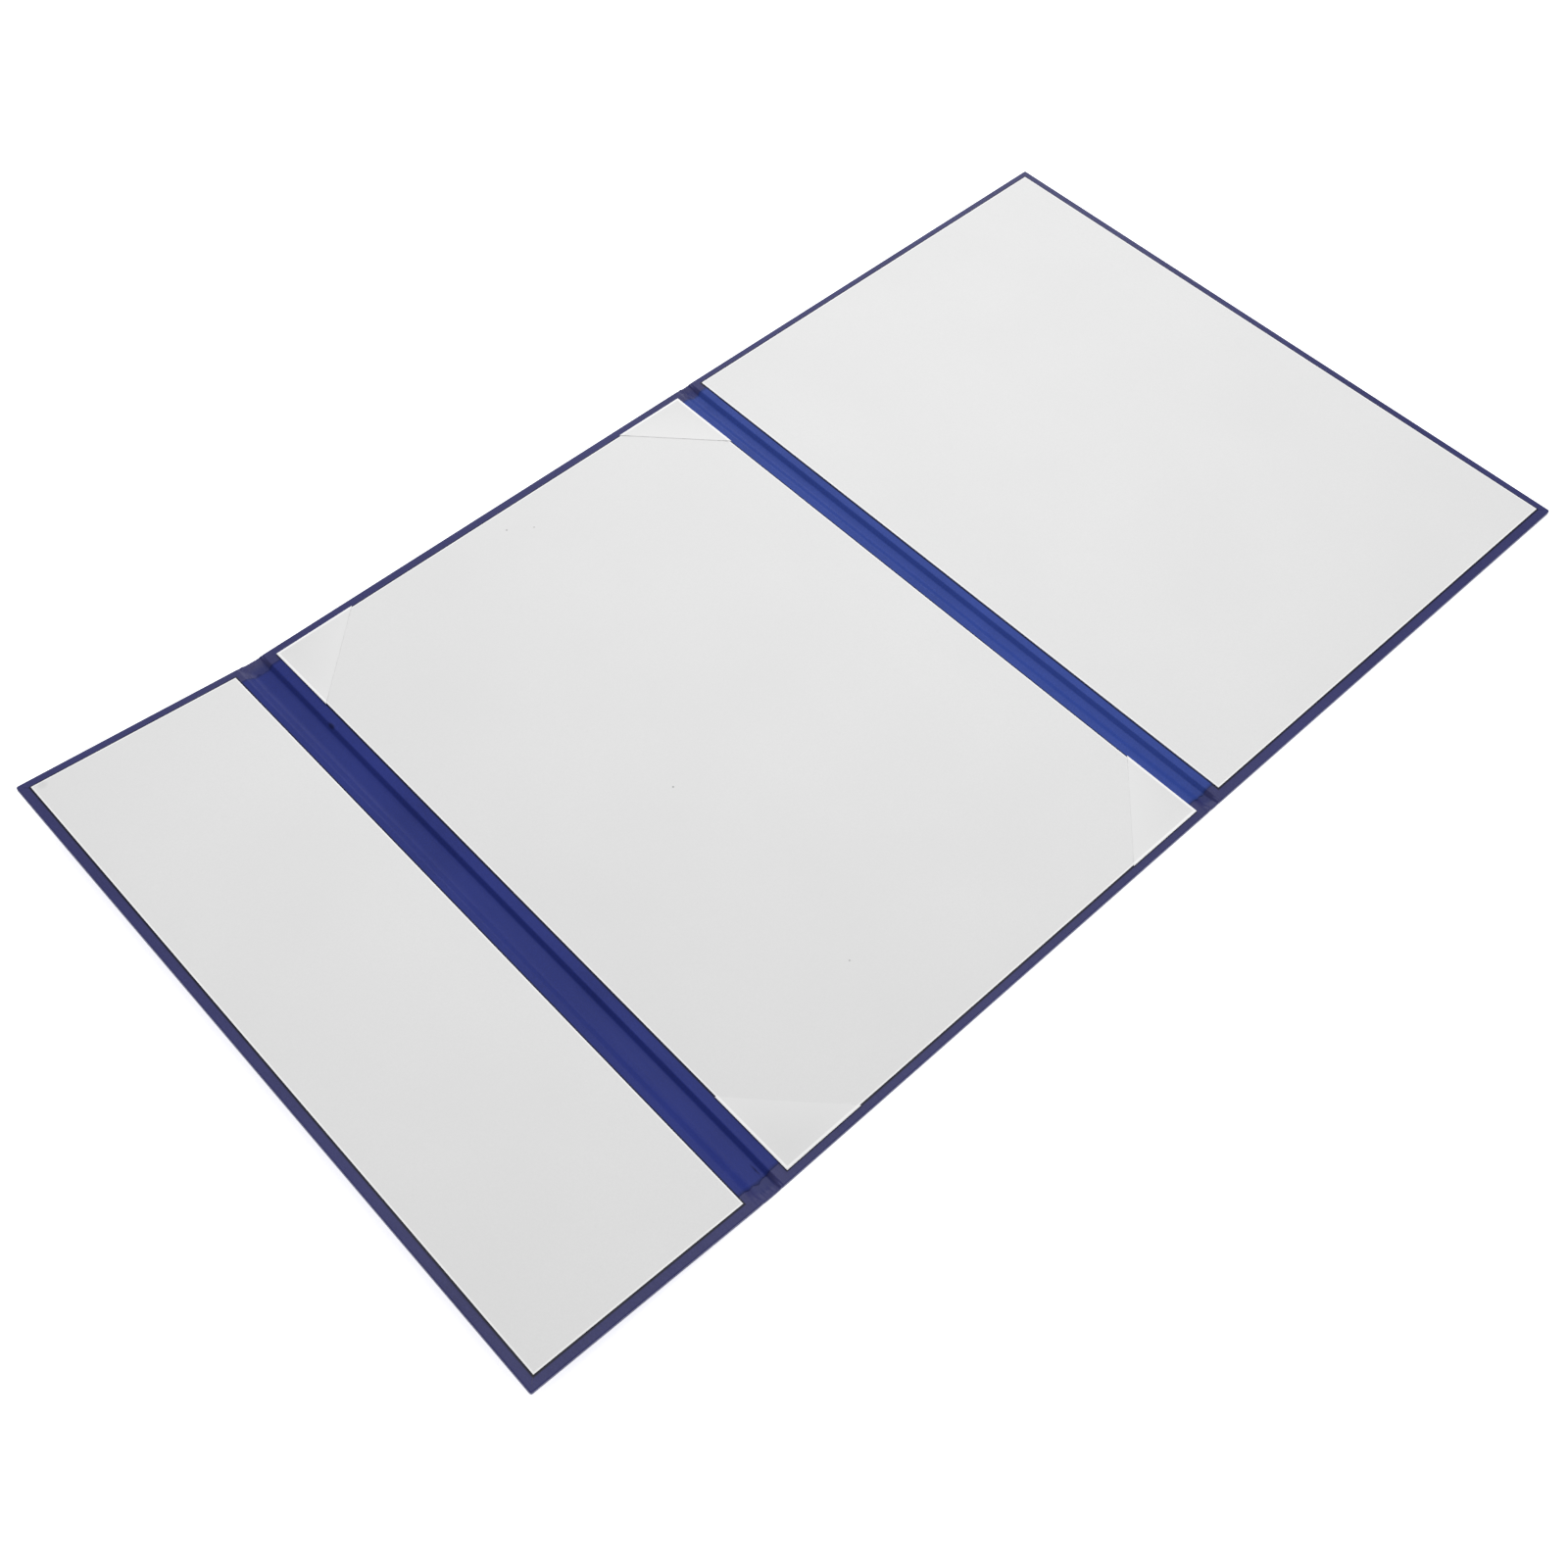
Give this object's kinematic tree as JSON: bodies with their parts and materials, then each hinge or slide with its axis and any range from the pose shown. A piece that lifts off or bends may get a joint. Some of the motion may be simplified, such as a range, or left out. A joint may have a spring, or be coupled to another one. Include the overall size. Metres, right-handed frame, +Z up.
{
  "type": "diploma cover",
  "caption": "Open three-panel card cover for a certificate sheet: a front cover, a middle panel with paper corner pockets and a narrow closing flap, wrapped in blue paper and lined in white.",
  "frame": {"origin": "centre of the middle panel's outer face, which lies on the table", "axes": "+X across the open cover from the closing flap to the front cover, +Y along the hinges, +Z up from the outer face to the lined inner face"},
  "size_m": [0.5653, 0.311, 0.0141],
  "materials": {
    "outer_paper": "satin laminated paper",
    "hinge_paper": "satin laminated paper",
    "liner_card": "smooth matt card",
    "pocket_paper": "smooth matt paper",
    "grey_board": "raw greyboard"
  },
  "bodies": {
    "middle": {"board_middle": "grey_board", "wrap_middle": "outer_paper", "hinge_wide_middle": "hinge_paper", "hinge_narrow_middle": "hinge_paper", "liner_middle": "liner_card", "pocket_far_left": "pocket_paper", "pocket_far_right": "pocket_paper", "pocket_near_left": "pocket_paper", "pocket_near_right": "pocket_paper"},
    "spine_narrow": {"wrap_spine_narrow": "outer_paper", "hinge_narrow_spine": "hinge_paper"},
    "cover": {"board_cover": "grey_board", "wrap_cover": "outer_paper", "hinge_narrow_cover": "hinge_paper", "liner_cover": "liner_card"},
    "spine_wide": {"wrap_spine_wide": "outer_paper", "hinge_wide_spine": "hinge_paper"},
    "flap": {"board_flap": "grey_board", "wrap_flap": "outer_paper", "hinge_wide_flap": "hinge_paper", "liner_flap": "liner_card"}
  },
  "joints": [
    {"name": "cover_spine_hinge", "type": "hinge", "parent": "middle", "child": "spine_narrow", "pos_m": [0.1142, 0, 0.00095], "axis": [0, -1, 0], "range_deg": [0, 90]},
    {"name": "cover_hinge", "type": "hinge", "parent": "spine_narrow", "child": "cover", "pos_m": [0.1182, 0, 0.00095], "axis": [0, -1, 0], "range_deg": [0, 90]},
    {"name": "flap_spine_hinge", "type": "hinge", "parent": "middle", "child": "spine_wide", "pos_m": [-0.1152, 0, 0.00144], "axis": [0, 1, 0], "range_deg": [-3.35, 86.65]},
    {"name": "flap_hinge", "type": "hinge", "parent": "spine_wide", "child": "flap", "pos_m": [-0.12119, 0, 0.00179], "axis": [0, 1, 0], "range_deg": [-3.35, 86.65]}
  ]
}
